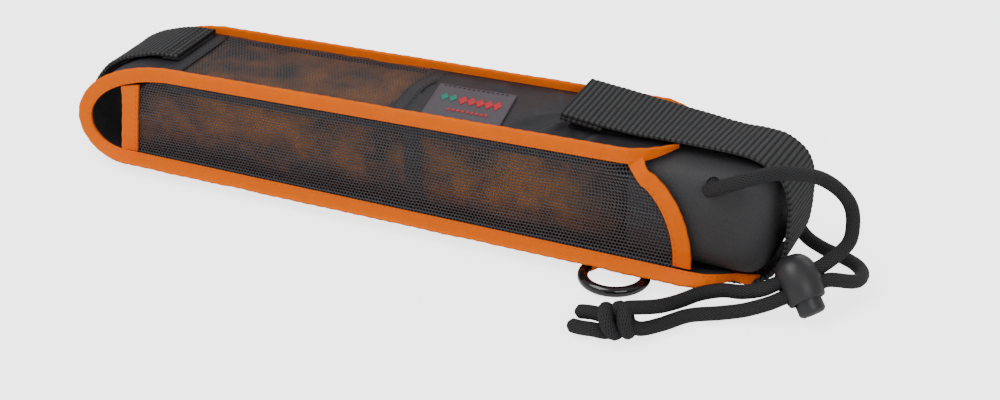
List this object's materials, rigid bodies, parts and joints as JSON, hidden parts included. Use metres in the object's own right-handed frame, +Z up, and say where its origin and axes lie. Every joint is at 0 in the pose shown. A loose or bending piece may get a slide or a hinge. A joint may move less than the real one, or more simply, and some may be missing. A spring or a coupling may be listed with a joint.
{
  "type": "compact umbrella in a carry sleeve",
  "caption": "Folded compact umbrella in a black mesh carry sleeve with orange edge tape, strap, belt loop, spring-gate ring and corded handle.",
  "frame": {"origin": "on the flat sole of the sleeve's underside, on the sleeve's long centre line in Y, 139 mm along from the closed end's foremost point", "axes": "+X along the sleeve from its closed end to the umbrella's handle, +Y across it to the far side, +Z up from the surface it lies on"},
  "size_m": [0.3111, 0.0998, 0.0529],
  "materials": {
    "mesh": "open polyester net, black",
    "nylon": "plain nylon cloth, black, soft sheen",
    "tape": "folded bias tape, bright orange",
    "webbing": "ribbed polyester webbing, charcoal",
    "hook_and_loop": "matt black nap",
    "label": "woven satin, grey",
    "grip": "fine grained, dark grey",
    "plastic": "moulded, satin",
    "canopy_cloth": "canopy cloth, orange brown",
    "cord": "braided cord, black",
    "ring_steel": "black enamel, glossy",
    "steel": "bright steel wire",
    "rib_metal": "satin steel",
    "shaft_metal": "satin aluminium"
  },
  "bodies": {
    "sleeve": {"near_mesh_panel": "mesh", "far_mesh_panel": "mesh", "top_mesh_panel": "mesh", "top_nylon_panel": "nylon", "bottom_panel": "nylon", "end_panel": "nylon", "tie_band": "nylon", "near_edge_tape": "tape", "far_edge_tape": "tape", "near_window_tape": "tape", "far_window_tape": "tape", "near_mouth_tape": "tape", "far_mouth_tape": "tape", "ring_tape_loop": "tape", "belt_loop": "webbing", "belt_loop_hem": "webbing", "closure_strap": "webbing", "loop_patch": "hook_and_loop", "woven_label": "label", "handle_grip": "grip", "handle_core": "plastic", "top_crown": "plastic", "runner": "plastic", "tip_cap": "plastic", "canopy": "canopy_cloth", "wrist_cord_near": "cord", "wrist_cord_far": "cord", "cord_knot": "cord", "cord_end_near": "cord", "cord_end_far": "cord", "rib_1": "rib_metal", "rib_2": "rib_metal", "rib_3": "rib_metal", "rib_4": "rib_metal", "rib_5": "rib_metal", "rib_6": "rib_metal", "rib_7": "rib_metal", "rib_8": "rib_metal", "stretcher_1": "rib_metal", "stretcher_2": "rib_metal", "stretcher_3": "rib_metal", "stretcher_4": "rib_metal", "stretcher_5": "rib_metal", "stretcher_6": "rib_metal", "stretcher_7": "rib_metal", "stretcher_8": "rib_metal", "shaft_outer_tube": "shaft_metal", "shaft_middle_tube": "shaft_metal", "shaft_inner_tube": "shaft_metal"},
    "flap": {"closure_flap": "webbing", "flap_hem": "webbing", "hook_patch": "hook_and_loop"},
    "ring": {"ring_body": "ring_steel", "gate_pin": "steel"},
    "gate": {"ring_gate": "ring_steel"},
    "lock": {"cord_lock_body": "plastic", "cord_lock_spring": "steel"},
    "lock_button": {"cord_lock_button": "plastic"}
  },
  "joints": [
    {"name": "flap_peel", "type": "hinge", "parent": "sleeve", "child": "flap", "pos_m": [0.124, 0.0045, 0.0484], "axis": [0, 0.9936, -0.1126], "range_deg": [0, 110]},
    {"name": "ring_turn", "type": "hinge", "parent": "sleeve", "child": "ring", "pos_m": [0.085, -0.0273, 0.00235], "axis": [0, 0, 1], "range_deg": [-100, 35]},
    {"name": "gate_swing", "type": "hinge", "parent": "ring", "child": "gate", "pos_m": [0.09534, -0.02354, 0.00235], "axis": [0, 0, 1], "range_deg": [0, 24], "stiffness_Nm_per_rad": 0.01, "springref_deg": -20.05},
    {"name": "lock_slide", "type": "slide", "parent": "sleeve", "child": "lock", "axis": [-0.7402, -0.6201, -0.2601], "range_m": [-0.001, 0.003]},
    {"name": "lock_press", "type": "slide", "parent": "lock", "child": "lock_button", "axis": [-0.5858, 0.4047, 0.7021], "range_m": [0, 0.002], "stiffness_N_per_m": 800, "springref_m": -0.001, "deforming": ["cord_lock_spring"]}
  ]
}
